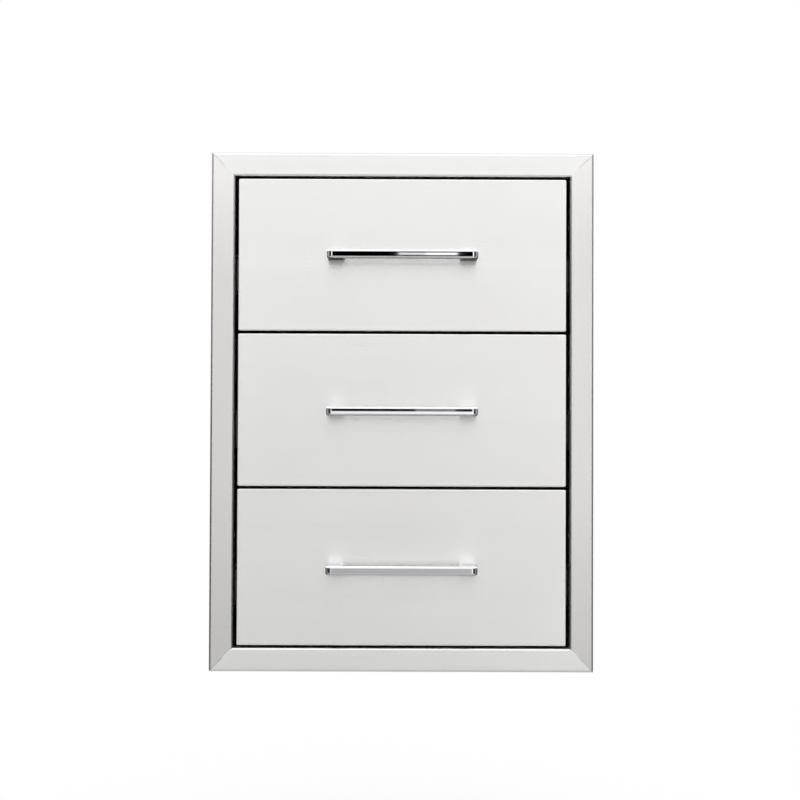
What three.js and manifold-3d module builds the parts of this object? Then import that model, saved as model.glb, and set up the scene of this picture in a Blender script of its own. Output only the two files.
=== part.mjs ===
// A built-in outdoor kitchen drawer unit: three drawers on ball-bearing slides, in a stainless housing
// behind a mitred face frame.
// Millimetres. +X is to the right, the drawers open towards -Y and +Z is up.
// The plane y = 0 is the face of the wall that the frame rests on, and the origin is the middle of the
// bottom rail's lip on that wall.

import * as THREE from "three";
import { mergeVertices } from "three/addons/utils/BufferGeometryUtils.js";
import Module from "manifold-3d";

const wasm = await Module();
wasm.setup();

// Every bend radius below is the inside radius of the bent sheet.

// Face frame: four channels of bent sheet, mitred at the corners.
const frameWidth = 432;
const frameHeight = 585;
const frameFace = 26.6; // width of a rail or stile, seen from the front
const frameDepth = 16; // from the wall to the front of the frame
const frameSheet = 1.2;
const frameBend = 1.3;
const wallLip = 14; // width of the lip that lies on the wall
const mitreGap = 0.3;

// Clearances between pieces.
const seatGap = 0.3; // between two pieces that rest on each other
const sideReveal = 4.1; // between a drawer front and a stile
const reveal = 3.1; // between two drawer fronts, and above and below them
const backClearance = 4.2; // behind the drawers

// Housing: two flat sides, a top and bottom with flanges inside them, and a flanged back.
const housingSheet = 1.2;
const housingBend = 1;
const housingOverlapShare = 0.54; // of the frame's inner legs, covered by the housing
const panelFlange = 15; // height of the flanges of the top and bottom
const backFlange = 15; // depth of the flanges of the back
const backCorner = 1.5; // radius of the back's face at its corners
const fixingHoleRadius = 2.5;
const fixingHoleSetback = 20; // behind the wall face
const fixingHoleShare = 0.7; // of each drawer front's height

// Drawer fronts: a folded outer pan, closed behind by a liner.
const lowerFrontExtra = 3.4; // by which the bottom front is higher than the two above it
const frontDepth = 18;
const frontRecess = 0.5; // of the fronts behind the frame's face
const frontSheet = 1;
const frontEdge = 1.2; // radius of the folded edges
const frontCorner = 0.8; // radius of the face at its corners
const linerSheet = 1;
const linerFlange = 10;

// Tubs: one sheet folded up at both sides, with a back welded in and hems turned outwards.
const tubSheet = 1;
const tubBend = 2.5;
const tubRise = 14; // of the tub's floor above the bottom of the front
const tubDrop = 38; // of the tub's top below the top of the front
const hemWidth = 8;
const hemDrop = 5;
const hemBend = 0.6;

// Handles: one-piece bridge pulls.
const screwSpacing = 152.4;
const legOverhang = 8.3; // from a screw to the end of the handle
const handleProjection = 38;
const handleDrop = 1.4; // below the middle of the front
const barDepth = 9.5;
const barHeight = 9.6;
const barEdge = 2.8; // radius of the long edges
const handleCorner = 6.5;
const legWidth = 20; // at the drawer front
const legTaper = 2.2; // loss of width from the front to the bar
const legFillet = 3;

// Handle screws: they pass through liner and front into the legs.
const screwRadius = 2;
const screwEngagement = 6.7; // length of the screw in the leg
const screwPoint = 0.8; // height and width of the chamfer at the tip
const screwHeadRadius = 4;
const screwHeadHeight = 2.4;
const screwHeadRound = 1.1;

// Slides: a cabinet rail, a middle rail and a drawer rail, with two rows of balls between each pair.
const slideLength = 450;
const slideSetback = 3; // behind the front end of the tub
const slideHeight = 45;
const slideRiseShare = 0.42; // height of the slide's centre line, of the tub's height
const railSheet = 1.2;
const railBend = 0.3;
const ballRadius = 1.5;
const ballPlay = 0.3; // between a ball and its raceways
const racewayDepth = 0.5; // of a groove rolled into a flange
const landing = 0.05; // flat left on the sheet's surface beside a groove
const tipClearance = 0.4; // between the middle rail's edges and the drawer rail
const cageSheet = 0.6;
const cageBend = 0.3;
const cageClearance = 0.3; // between a cage and the rails' webs
const cageMargin = 0.8; // cage left beside a ball
const cageLengthShare = 0.44; // of the slide's length
const ballsInRow = 3;
const railHoleRadius = 2.3;
const accessHoleRadius = 5; // in the middle rail, through which the screws are reached
const railHoleInset = 40; // of a rail's holes from its ends

// How finely curves are faceted, and by how much a cutting shape overruns what it cuts.
const bendSteps = 3;
const railBendSteps = 2;
const grooveSteps = 4;
const cornerSegments = 1;
const roundSides = 8;
const cutOverrun = 5;

const drawerNames = ["top", "middle", "bottom"];
const sides = [
  { name: "left", sign: -1 },
  { name: "right", sign: 1 },
];

// Places worked out from the values above.
const frameBottom = -(frameSheet + frameBend + wallLip) / 2;
const openingWidth = frameWidth - 2 * frameFace;
const openingHeight = frameHeight - 2 * frameFace;
const openingBottom = frameBottom + frameFace;
const openingTop = openingBottom + openingHeight;
const openingMiddle = (openingBottom + openingTop) / 2;
const frontWidth = openingWidth - 2 * sideReveal;
const frontsHeight = openingHeight - (drawerNames.length + 1) * reveal;
const upperFrontHeight = (frontsHeight - lowerFrontExtra) / drawerNames.length;
const lowerFrontHeight = upperFrontHeight + lowerFrontExtra;
const frontFace = frontRecess - frameDepth;
const frontBack = frontFace + frontDepth;
const tubFront = frontBack + seatGap;
const slideFront = tubFront + slideSetback;
const tubBack = slideFront + slideLength;
const housingHalf = openingWidth / 2 + frameSheet + seatGap;
const housingBottom = openingBottom - frameSheet - seatGap;
const housingTop = openingTop + frameSheet + seatGap;
const housingFront = -housingOverlapShare * (frameDepth - frameSheet);
const housingRoom = Math.max(hemWidth + tubSheet / 2, backFlange - housingSheet) + backClearance;
const housingBack = tubBack + housingRoom + housingSheet;
const slideWall = housingHalf - seatGap;
const handleLength = screwSpacing + 2 * legOverhang;
const screwLength = seatGap + frontDepth + screwEngagement;

// Levels (up from the slide's centre line) and distances (inwards from the housing) within a slide.
const racewayRadius = ballRadius + ballPlay + railSheet / 2;
const racewayHalf = Math.sqrt(2 * racewayRadius * racewayDepth - racewayDepth ** 2);
const racewayAngle = Math.asin(racewayHalf / racewayRadius);
const flangeStep = racewayRadius - racewayDepth;
const shoulder = landing + railSheet * Math.tan(racewayAngle / 2);
const outerBallLevel = slideHeight / 2 - railSheet - ballPlay - ballRadius;
const cabinetFlangeLevel = outerBallLevel + flangeStep;
const middleFlangeLevel = outerBallLevel - flangeStep;
const innerBallLevel = middleFlangeLevel - flangeStep;
const drawerFlangeLevel = innerBallLevel - flangeStep;
const cabinetWeb = railSheet / 2;
const outerCageWeb = railSheet + cageClearance + cageSheet / 2;
const middleWeb = outerCageWeb + cageSheet / 2 + cageClearance + railSheet / 2;
const innerCageWeb = middleWeb + railSheet / 2 + cageClearance + cageSheet / 2;
const outerBall = middleWeb + railBend + railSheet / 2 + shoulder + racewayHalf;
const innerBall = outerBall + 2 * racewayHalf + shoulder;
const middleEdge = innerBall + racewayHalf + shoulder;
const drawerWeb = middleEdge + tipClearance + railSheet / 2;
const slideThickness = drawerWeb + railSheet / 2;
const tubHalf = slideWall - slideThickness - seatGap;

const finishes = {
  brushedSteel: { color: 0xd2d1cf, roughness: 0.34, metalness: 1 },
  satinSteel: { color: 0xb9babb, roughness: 0.45, metalness: 1 },
  polishedChrome: { color: 0xe4e5e8, roughness: 0.06, metalness: 1 },
  zincPlate: { color: 0xa9adb2, roughness: 0.38, metalness: 1 },
  cageSteel: { color: 0x8b8d90, roughness: 0.5, metalness: 1 },
  screwSteel: { color: 0xa6a8ab, roughness: 0.3, metalness: 1 },
};

// The drawers from the top one down, each with the level at which its front starts.
const drawers = drawerNames.reduce((placed, name) => {
  const above = placed.length ? placed.at(-1).bottom : openingTop;
  const height = name === "bottom" ? lowerFrontHeight : upperFrontHeight;
  return [...placed, { name, height, bottom: above - reveal - height }];
}, []);

// Shapes of bent sheet.

// The arc that rounds one corner of a line to a radius, as points.
function bend(before, corner, after, radius, steps) {
  const runIn = corner.clone().sub(before).normalize();
  const runOut = after.clone().sub(corner).normalize();
  const turn = Math.atan2(runIn.cross(runOut), runIn.dot(runOut));
  const start = corner.clone().addScaledVector(runIn, -radius * Math.tan(Math.abs(turn) / 2));
  const toCentre = new THREE.Vector2(-runIn.y, runIn.x).multiplyScalar(radius * Math.sign(turn));
  const centre = start.clone().add(toCentre);
  return Array.from({ length: steps + 1 }, (_, step) =>
    start.clone().rotateAround(centre, (turn * step) / steps),
  );
}

// The middle line of a bent sheet: straight runs, with every corner rounded to one radius.
function bentLine(corners, radius, steps = bendSteps) {
  const points = corners.map(([across, up]) => new THREE.Vector2(across, up));
  const bends = points
    .slice(1, -1)
    .flatMap((corner, index) => bend(points[index], corner, points[index + 2], radius, steps));
  return [points[0], ...bends, points.at(-1)];
}

// The section of a sheet that follows a middle line.
function sheetShape(line, thickness) {
  const runs = line.slice(1).map((point, index) => point.clone().sub(line[index]).normalize());
  const offsets = line.map((_, index) => {
    const runIn = runs[Math.max(index - 1, 0)];
    const runOut = runs[Math.min(index, runs.length - 1)];
    const along = runIn.clone().add(runOut).normalize();
    const reach = thickness / 2 / along.dot(runIn);
    return new THREE.Vector2(-along.y, along.x).multiplyScalar(reach);
  });
  const left = line.map((point, index) => point.clone().add(offsets[index]));
  const right = line.map((point, index) => point.clone().sub(offsets[index]));
  return new THREE.Shape([...left, ...right.reverse()]);
}

function roundedRectangle(halfWidth, halfHeight, radius) {
  const shape = new THREE.Shape();
  const quarter = Math.PI / 2;
  const centres = [
    [halfWidth - radius, radius - halfHeight, -quarter],
    [halfWidth - radius, halfHeight - radius, 0],
    [radius - halfWidth, halfHeight - radius, quarter],
    [radius - halfWidth, radius - halfHeight, 2 * quarter],
  ];
  centres.forEach(([across, up, start]) => shape.absarc(across, up, radius, start, start + quarter));
  return shape;
}

// Solids.

// Extrudes a shape drawn in y and z along x.
function alongX(shape, from, to) {
  const geometry = new THREE.ExtrudeGeometry(shape, { depth: to - from, bevelEnabled: false });
  geometry.rotateX(Math.PI / 2);
  geometry.rotateZ(Math.PI / 2);
  return geometry.translate(from, 0, 0);
}

// Extrudes a shape drawn in x and z along y.
function alongY(shape, from, to) {
  const geometry = new THREE.ExtrudeGeometry(shape, {
    depth: to - from,
    bevelEnabled: false,
    curveSegments: cornerSegments,
  });
  return geometry.rotateX(Math.PI / 2).translate(0, to, 0);
}

// Extrudes a shape whose ends are rounded over, starting where its own z is 0.
function extrudeRounded(shape, depth, radius) {
  const geometry = new THREE.ExtrudeGeometry(shape, {
    depth: depth - 2 * radius,
    bevelThickness: radius,
    bevelSize: radius,
    bevelOffset: -radius,
    bevelSegments: bendSteps,
    curveSegments: cornerSegments,
  });
  return geometry.translate(0, 0, radius);
}

function solidOf(geometry) {
  const bare = geometry.clone();
  bare.deleteAttribute("normal");
  bare.deleteAttribute("uv");
  const merged = mergeVertices(bare);
  const mesh = new wasm.Mesh({
    numProp: 3,
    vertProperties: merged.getAttribute("position").array,
    triVerts: Uint32Array.from(merged.getIndex().array),
  });
  return new wasm.Manifold(mesh);
}

function geometryOf(solid) {
  const mesh = solid.getMesh();
  const geometry = new THREE.BufferGeometry();
  geometry.setAttribute("position", new THREE.BufferAttribute(mesh.vertProperties, 3));
  geometry.setIndex(new THREE.BufferAttribute(mesh.triVerts, 1));
  geometry.computeVertexNormals();
  return geometry;
}

function boxSolid(low, high) {
  const size = high.map((value, axis) => value - low[axis]);
  const middle = high.map((value, axis) => (value + low[axis]) / 2);
  return solidOf(new THREE.BoxGeometry(...size).translate(...middle));
}

// A cutter for a round hole along y. Its flats stand at the radius, so the hole is never too small.
function holeCutter(radius, from, to) {
  const corner = radius / Math.cos(Math.PI / roundSides);
  const cutter = new THREE.CylinderGeometry(corner, corner, to - from, roundSides);
  return cutter.translate(0, (from + to) / 2, 0);
}

function subtractAll(solid, cutters) {
  return cutters.reduce((cut, cutter) => cut.subtract(solidOf(cutter)), solid);
}

// A shallow pan with rounded edges: its face is at y = -depth and its open back at y = 0. The edge
// is the radius of its folded edges, and the corner that of its face.
function panSolid(width, height, depth, sheet, edge, corner) {
  const outside = roundedRectangle(width / 2, height / 2, edge + corner);
  const block = extrudeRounded(outside, depth + cutOverrun + edge, edge);
  block.rotateX(Math.PI / 2).translate(0, cutOverrun + edge, 0);
  const inside = roundedRectangle(width / 2 - sheet, height / 2 - sheet, edge + corner - sheet / 2);
  const hollow = alongY(inside, sheet - depth, depth);
  const behind = boxSolid([-width, 0, -height], [width, depth + cutOverrun, height]);
  return subtractAll(solidOf(block), [hollow]).subtract(behind);
}

function addPiece(parent, name, geometry, finish) {
  const piece = new THREE.Mesh(geometry, new THREE.MeshStandardMaterial(finishes[finish]));
  piece.name = name;
  parent.add(piece);
  return piece;
}

// The face frame.

// A frame channel above the middle of the opening: its inner leg bounds the opening, its lip lies on
// the wall, and both ends are mitred.
function frameChannel(halfLength, distance) {
  const half = frameSheet / 2;
  const corners = [
    [half, 0],
    [half, half - frameDepth],
    [frameFace - half, half - frameDepth],
    [frameFace - half, -half],
    [frameFace - wallLip, -half],
  ];
  const section = sheetShape(bentLine(corners, frameBend + half), frameSheet);
  const channel = new THREE.ExtrudeGeometry(section, { depth: 1, bevelEnabled: false });
  const point = channel.getAttribute("position");
  for (let index = 0; index < point.count; index += 1) {
    const outward = point.getX(index);
    const end = 2 * point.getZ(index) - 1;
    const reach = halfLength + outward - mitreGap / Math.SQRT2;
    point.setXYZ(index, -end * reach, point.getY(index), distance + outward);
  }
  channel.computeVertexNormals();
  return channel;
}

function buildFrame(parent) {
  const frame = new THREE.Group();
  frame.position.z = openingMiddle;
  parent.add(frame);
  const rail = frameChannel(openingWidth / 2, openingHeight / 2);
  const stile = frameChannel(openingHeight / 2, openingWidth / 2);
  addPiece(frame, "frame_top_rail", rail, "brushedSteel");
  addPiece(frame, "frame_bottom_rail", rail, "brushedSteel").rotation.y = Math.PI;
  addPiece(frame, "frame_left_stile", stile, "brushedSteel").rotation.y = -Math.PI / 2;
  addPiece(frame, "frame_right_stile", stile, "brushedSteel").rotation.y = Math.PI / 2;
}

// The housing.

// A side, with a fixing hole level with each drawer.
function housingSide() {
  const low = [0, housingFront, housingBottom - housingSheet];
  const high = [housingSheet, housingBack, housingTop + housingSheet];
  const holes = drawers.map(({ height, bottom }) =>
    holeCutter(fixingHoleRadius, -cutOverrun, housingSheet + cutOverrun)
      .rotateZ(-Math.PI / 2)
      .translate(0, fixingHoleSetback, bottom + fixingHoleShare * height),
  );
  return geometryOf(subtractAll(boxSolid(low, high), holes));
}

// The top: its flanges are bent down inside the sides, and stop short of the frame and the back.
function housingCap() {
  const half = housingSheet / 2;
  const reach = slideWall - half;
  const corners = [
    [-reach, half - panelFlange],
    [-reach, half],
    [reach, half],
    [reach, half - panelFlange],
  ];
  const section = sheetShape(bentLine(corners, housingBend + half), housingSheet);
  const flanged = solidOf(alongY(section, seatGap, housingBack - backFlange - seatGap));
  const flat = slideWall - housingSheet - housingBend;
  const web = boxSolid([-flat, housingFront, 0], [flat, housingBack, housingSheet]);
  return geometryOf(flanged.add(web));
}

function buildHousing(parent) {
  const side = housingSide();
  addPiece(parent, "housing_left_side", side, "satinSteel").position.x = -housingHalf - housingSheet;
  addPiece(parent, "housing_right_side", side, "satinSteel").position.x = housingHalf;
  const cap = housingCap();
  addPiece(parent, "housing_top", cap, "satinSteel").position.z = housingTop;
  const floor = addPiece(parent, "housing_bottom", cap, "satinSteel");
  floor.rotation.y = Math.PI;
  floor.position.z = housingBottom;
  const width = 2 * slideWall;
  const height = housingTop - housingBottom - 2 * seatGap;
  const pan = panSolid(width, height, backFlange, housingSheet, housingBend + housingSheet, backCorner);
  const back = addPiece(parent, "housing_back", geometryOf(pan), "satinSteel");
  back.rotation.z = Math.PI;
  back.position.set(0, housingBack - backFlange, openingMiddle);
}

// The drawers.

// Cutters for both handle screws, through whatever lies between the two depths.
function screwHoles(from, to, up) {
  return sides.map(({ sign }) =>
    holeCutter(screwRadius + seatGap, from, to).translate((sign * screwSpacing) / 2, 0, up),
  );
}

function drawerFront(height) {
  const front = panSolid(frontWidth, height, frontDepth, frontSheet, frontEdge, frontCorner);
  return geometryOf(subtractAll(front, screwHoles(-frontDepth - cutOverrun, 0, -handleDrop)));
}

function drawerLiner(height) {
  const inset = 2 * (frontSheet + seatGap);
  const width = frontWidth - inset;
  const liner = panSolid(width, height - inset, linerFlange, linerSheet, frontEdge, frontCorner);
  return geometryOf(subtractAll(liner, screwHoles(-linerFlange - cutOverrun, 0, -handleDrop)));
}

// The tub: floor and sides in one sheet, hemmed at the top, with a hemmed back welded in.
function drawerTub(height) {
  const half = tubSheet / 2;
  const wall = tubHalf - half;
  const top = height - half;
  const hemEnd = height - hemDrop;
  const hemTurn = hemBend + half;
  const middle = height / 2;
  const leftHem = [
    [-wall - hemWidth, hemEnd],
    [-wall - hemWidth, top],
    [-wall, top],
    [-wall, middle],
  ];
  const floor = [
    [-wall, middle],
    [-wall, half],
    [wall, half],
    [wall, middle],
  ];
  const rightHem = leftHem.map(([across, up]) => [-across, up]).reverse();
  const wrap = [
    ...bentLine(leftHem, hemTurn).slice(0, -1),
    ...bentLine(floor, tubBend + half).slice(1, -1),
    ...bentLine(rightHem, hemTurn).slice(1),
  ];
  const sheet = solidOf(alongY(sheetShape(wrap, tubSheet), tubFront, tubBack));
  const backCorners = [
    [tubBack - half, half],
    [tubBack - half, top],
    [tubBack - half + hemWidth, top],
    [tubBack - half + hemWidth, hemEnd],
  ];
  const back = solidOf(alongX(sheetShape(bentLine(backCorners, hemTurn), tubSheet), -wall, wall));
  const outline = roundedRectangle(wall, height, tubBend + half);
  const trim = alongY(outline, tubFront, tubBack + hemWidth).translate(0, 0, height + half);
  return geometryOf(sheet.add(back.intersect(solidOf(trim))));
}

// The handle: its outline seen from above, given its height with rounded long edges.
function drawerHandle() {
  const end = handleLength / 2;
  const legInside = end - legWidth;
  const barInside = legInside + legTaper;
  const cornerDepth = handleCorner - handleProjection;
  const filletAcross = barInside - legFillet;
  const filletDepth = barDepth - handleProjection + legFillet;
  const quarter = Math.PI / 2;
  const outline = new THREE.Shape();
  outline.moveTo(-legInside, 0);
  outline.lineTo(-legInside, cutOverrun);
  outline.lineTo(-end, cutOverrun);
  outline.absarc(handleCorner - end, cornerDepth, handleCorner, 2 * quarter, 3 * quarter);
  outline.absarc(end - handleCorner, cornerDepth, handleCorner, 3 * quarter, 4 * quarter);
  outline.lineTo(end, cutOverrun);
  outline.lineTo(legInside, cutOverrun);
  outline.lineTo(legInside, 0);
  outline.absarc(filletAcross, filletDepth, legFillet, 0, -quarter, true);
  outline.absarc(-filletAcross, filletDepth, legFillet, -quarter, -2 * quarter, true);
  const bridge = extrudeRounded(outline, barHeight, barEdge).translate(0, 0, -barHeight / 2);
  const low = [-handleLength, -seatGap, -barHeight];
  const high = [handleLength, cutOverrun, barHeight];
  const cut = solidOf(bridge).subtract(boxSolid(low, high));
  return geometryOf(subtractAll(cut, screwHoles(-screwEngagement - seatGap, cutOverrun, 0)));
}

// A pan-head screw along y: the head sits behind y = 0 and the shank runs forwards.
function handleScrew() {
  const profile = [
    [0, -screwLength],
    [screwRadius - screwPoint, -screwLength],
    [screwRadius, screwPoint - screwLength],
    [screwRadius, 0],
    [screwHeadRadius, 0],
    [screwHeadRadius, screwHeadHeight - screwHeadRound],
    [screwHeadRadius - screwHeadRound, screwHeadHeight],
    [0, screwHeadHeight],
  ];
  const points = profile.map(([radius, along]) => new THREE.Vector2(radius, along));
  return new THREE.LatheGeometry(points, roundSides);
}

function buildDrawer(parent, { name, height, bottom }) {
  const drawer = new THREE.Group();
  drawer.position.z = bottom;
  parent.add(drawer);

  const front = new THREE.Group();
  front.position.set(0, frontBack, height / 2);
  drawer.add(front);
  addPiece(front, `${name}_drawer_front`, drawerFront(height), "brushedSteel");
  const liner = addPiece(front, `${name}_drawer_liner`, drawerLiner(height), "satinSteel");
  liner.rotation.z = Math.PI;
  liner.position.y = -linerFlange;
  const handle = addPiece(front, `${name}_drawer_handle`, drawerHandle(), "polishedChrome");
  handle.position.set(0, -frontDepth, -handleDrop);
  sides.forEach((side) => {
    const screw = addPiece(front, `${name}_handle_screw_${side.name}`, handleScrew(), "screwSteel");
    screw.position.set((side.sign * screwSpacing) / 2, seatGap, -handleDrop);
  });

  const tubHeight = height - tubRise - tubDrop;
  addPiece(drawer, `${name}_drawer_tub`, drawerTub(tubHeight), "satinSteel").position.z = tubRise;
  const slideLevel = tubRise + slideRiseShare * tubHeight;
  sides.forEach((side) => buildSlide(drawer, name, side, slideLevel));
}

// The slides. A section is drawn as distances in from the housing and levels above the centre line.

// The groove that a flange has round a row of balls, as points: bulge is 1 for a groove above the balls
// and -1 for one below them, and travel is the way that the line runs.
function raceway(ball, level, bulge, travel) {
  return Array.from({ length: grooveSteps + 1 }, (_, step) => {
    const angle = travel * racewayAngle * ((2 * step) / grooveSteps - 1);
    const across = ball + racewayRadius * Math.sin(angle);
    return new THREE.Vector2(across, level + bulge * racewayRadius * Math.cos(angle));
  });
}

// A rail: its upper half runs from the flange's free edge over its grooves to the web, and its lower
// half is the mirror image.
function slideRail({ edge, grooves, web, level, holeRadius }) {
  const free = new THREE.Vector2(edge, level);
  const corner = new THREE.Vector2(web, level);
  const webMiddle = new THREE.Vector2(web, 0);
  const turn = bend(grooves.at(-1), corner, webMiddle, railBend + railSheet / 2, railBendSteps);
  const upper = [free, ...grooves, ...turn];
  const lower = upper.map((point) => new THREE.Vector2(point.x, -point.y)).reverse();
  const rail = solidOf(alongY(sheetShape([...upper, ...lower], railSheet), 0, slideLength));
  const cutters = [railHoleInset, slideLength - railHoleInset].map((back) =>
    holeCutter(holeRadius, -cutOverrun, slideThickness + cutOverrun)
      .rotateZ(-Math.PI / 2)
      .translate(0, back, 0),
  );
  return geometryOf(subtractAll(rail, cutters));
}

// A cage: a light channel that carries two rows of balls.
function ballCage({ web, ball, level }) {
  const edge = ball + ballRadius + cageMargin;
  const corners = [
    [edge, level],
    [web, level],
    [web, -level],
    [edge, -level],
  ];
  const length = cageLengthShare * slideLength;
  const pitch = length / ballsInRow;
  const line = bentLine(corners, cageBend + cageSheet / 2, railBendSteps);
  const channel = solidOf(alongY(sheetShape(line, cageSheet), 0, length));
  const balls = [level, -level].flatMap((up) =>
    Array.from({ length: ballsInRow }, (_, index) =>
      new THREE.IcosahedronGeometry(ballRadius).translate(ball, pitch * (index + 1 / 2), up),
    ),
  );
  return geometryOf(balls.reduce((solid, each) => solid.add(solidOf(each)), channel));
}

const slidePieces = {
  cabinet_rail: slideRail({
    edge: outerBall + racewayHalf + shoulder,
    grooves: raceway(outerBall, outerBallLevel, 1, -1),
    web: cabinetWeb,
    level: cabinetFlangeLevel,
    holeRadius: railHoleRadius,
  }),
  middle_rail: slideRail({
    edge: middleEdge,
    grooves: [
      ...raceway(innerBall, innerBallLevel, 1, -1),
      ...raceway(outerBall, outerBallLevel, -1, -1),
    ],
    web: middleWeb,
    level: middleFlangeLevel,
    holeRadius: accessHoleRadius,
  }),
  drawer_rail: slideRail({
    edge: innerBall - racewayHalf - shoulder,
    grooves: raceway(innerBall, innerBallLevel, -1, 1),
    web: drawerWeb,
    level: drawerFlangeLevel,
    holeRadius: railHoleRadius,
  }),
  outer_ball_cage: ballCage({ web: outerCageWeb, ball: outerBall, level: outerBallLevel }),
  inner_ball_cage: ballCage({ web: innerCageWeb, ball: innerBall, level: innerBallLevel }),
};

// A slide is the same on both sides: the right-hand one is turned round.
function buildSlide(drawer, drawerName, { name, sign }, level) {
  const slide = new THREE.Group();
  slide.position.set(sign * slideWall, slideFront, level);
  if (sign > 0) {
    slide.rotation.z = Math.PI;
    slide.position.y += slideLength;
  }
  drawer.add(slide);
  Object.entries(slidePieces).forEach(([part, geometry]) => {
    const caged = part.endsWith("cage");
    const finish = caged ? "cageSteel" : "zincPlate";
    const piece = addPiece(slide, `${drawerName}_${name}_${part}`, geometry, finish);
    piece.position.y = caged ? (slideLength * (1 - cageLengthShare)) / 2 : 0;
  });
}

const unit = new THREE.Group();
unit.name = "drawer_unit";
buildFrame(unit);
buildHousing(unit);
drawers.forEach((drawer) => buildDrawer(unit, drawer));

export default unit;
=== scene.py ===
import bmesh
import bpy
import numpy as np
from mathutils import Matrix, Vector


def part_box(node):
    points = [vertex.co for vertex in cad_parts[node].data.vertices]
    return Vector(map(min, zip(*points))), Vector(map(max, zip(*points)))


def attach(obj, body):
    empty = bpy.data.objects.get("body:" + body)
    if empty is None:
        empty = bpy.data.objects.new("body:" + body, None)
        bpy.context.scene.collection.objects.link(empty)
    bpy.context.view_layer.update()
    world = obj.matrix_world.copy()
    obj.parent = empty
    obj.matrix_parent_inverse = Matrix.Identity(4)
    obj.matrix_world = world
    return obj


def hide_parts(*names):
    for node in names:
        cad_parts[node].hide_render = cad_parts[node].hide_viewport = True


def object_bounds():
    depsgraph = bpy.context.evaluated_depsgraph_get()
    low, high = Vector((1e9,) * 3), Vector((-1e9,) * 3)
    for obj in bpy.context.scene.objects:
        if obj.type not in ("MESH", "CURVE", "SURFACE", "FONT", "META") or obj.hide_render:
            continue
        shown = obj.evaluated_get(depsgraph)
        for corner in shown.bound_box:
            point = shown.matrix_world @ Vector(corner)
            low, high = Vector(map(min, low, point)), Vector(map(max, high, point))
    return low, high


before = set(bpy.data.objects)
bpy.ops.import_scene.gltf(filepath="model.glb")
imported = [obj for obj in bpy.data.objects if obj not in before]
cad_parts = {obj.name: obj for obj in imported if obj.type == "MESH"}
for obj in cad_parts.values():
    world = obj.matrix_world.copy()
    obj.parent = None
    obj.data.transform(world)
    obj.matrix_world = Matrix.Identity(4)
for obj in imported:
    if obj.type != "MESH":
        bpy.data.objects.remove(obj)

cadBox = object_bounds()
drawerNames = ("top", "middle", "bottom")
sideSigns = {"left": -1, "right": 1}


# Camera

camera = {
    "distance": 2.38,        # from the face of the frame
    "across": -0.0083,
    "up": 0.2814,
    "lens": 95,
    "sensor": 36,
    "pitch": 1.664,          # degrees, upwards
    "yaw": -0.142,
    "roll": 0.217,
    "shift": -0.059,
}


def addCamera():
    lens = bpy.data.cameras.new("camera")
    lens.lens = camera["lens"]
    lens.sensor_width = camera["sensor"]
    lens.shift_y = camera["shift"]
    seen = bpy.data.objects.new("camera", lens)
    bpy.context.scene.collection.objects.link(seen)
    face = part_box("frame_top_rail")[0].y
    turned = Matrix.Translation((camera["across"], face - camera["distance"], camera["up"]))
    for axis, degrees in (("Z", camera["yaw"]), ("X", 90 + camera["pitch"]), ("Z", camera["roll"])):
        turned = turned @ Matrix.Rotation(np.radians(degrees), 4, axis)
    seen.matrix_world = turned
    bpy.context.scene.camera = seen
    bpy.context.scene.view_settings.view_transform = "Standard"


# Shader nodes

# Adds a node. The inputs are sockets to join or plain values, by name or number.
def addNode(tree, kind, inputs=None, **settings):
    made = tree.nodes.new("ShaderNode" + kind)
    for key, value in settings.items():
        setattr(made, key, value)
    for key, value in (inputs or {}).items():
        if isinstance(value, bpy.types.NodeSocket):
            tree.links.new(value, made.inputs[key])
        else:
            made.inputs[key].default_value = value
    return made


def compute(tree, operation, first, second=0.0, clamp=False):
    return addNode(tree, "Math", {0: first, 1: second}, operation=operation, use_clamp=clamp).outputs[0]


def grey(level):
    return (level, level, level, 1)


def mixColours(tree, amount, first, second):
    return addNode(tree, "Mix", {0: amount, 6: first, 7: second}, data_type="RGBA").outputs[2]


def newGroup(name, inputs, outputs):
    tree = bpy.data.node_groups.new(name, "ShaderNodeTree")
    for label, kind, value in inputs:
        socket = tree.interface.new_socket(label, in_out="INPUT", socket_type="NodeSocket" + kind)
        socket.default_value = value
    for label, kind in outputs:
        tree.interface.new_socket(label, in_out="OUTPUT", socket_type="NodeSocket" + kind)
    return tree, tree.nodes.new("NodeGroupInput"), tree.nodes.new("NodeGroupOutput")


surface = {
    "scratchDetail": 3.0, "beltDetail": 2.0, "markDetail": 4.0, "dustDetail": 5.0,
    "beltScale": 0.06,       # changes of the belt's passes for each change of the scratches
    "shade": 0.35,           # how much the unevenness shows in the tint
    "bump": 0.25, "scratchDepth": 0.00003,
    "dustFacing": 4.0,       # how fast the dust thins out on slopes
    "paintedShadeFacing": 0.9,        # how squarely a face must look along y to take the painted shade of the ends
}


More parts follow.
